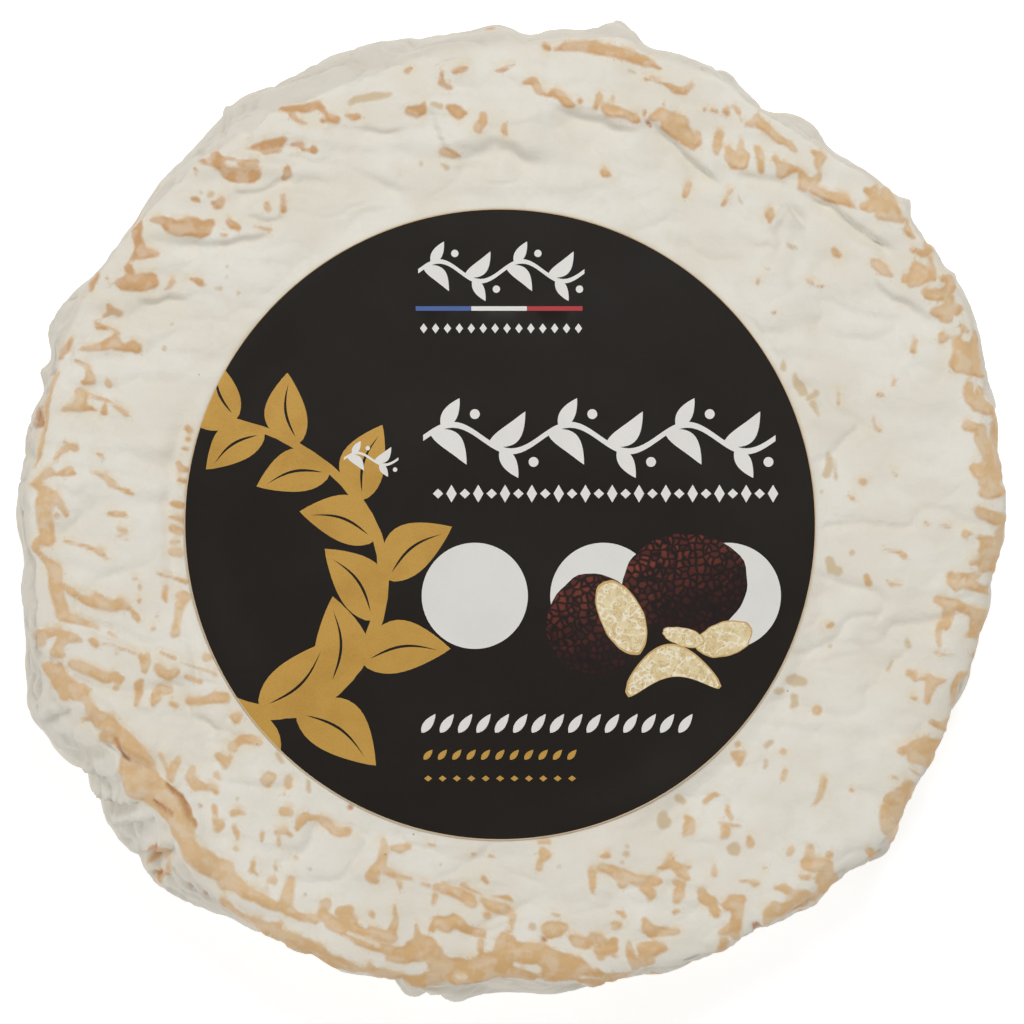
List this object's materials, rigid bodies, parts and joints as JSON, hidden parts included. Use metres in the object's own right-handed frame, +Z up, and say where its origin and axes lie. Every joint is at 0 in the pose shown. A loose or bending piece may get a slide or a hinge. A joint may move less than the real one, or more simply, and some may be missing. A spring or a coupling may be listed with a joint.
{
  "type": "cheese wheel",
  "caption": "Whole soft white-rind cheese wheel, low and round with a slumped, uneven rim and tan worn patches, standing flat with a round printed paper label on top.",
  "frame": {"origin": "on the surface the wheel stands on, under the centre of its bounding box", "axes": "+Z up through the top face and its label, along the wheel's height, which is its shortest side; +X to the label's right-hand side and +Y to the label's upper edge"},
  "size_m": [0.1994, 0.1956, 0.0356],
  "materials": {
    "rind": "matt, velvety white mould rind with satin tan patches where it is worn through",
    "label_paper": "satin black print with gold ink on thin paper"
  },
  "bodies": {
    "root": {"cheese_wheel": "rind", "top_label": "label_paper"}
  },
  "joints": []
}
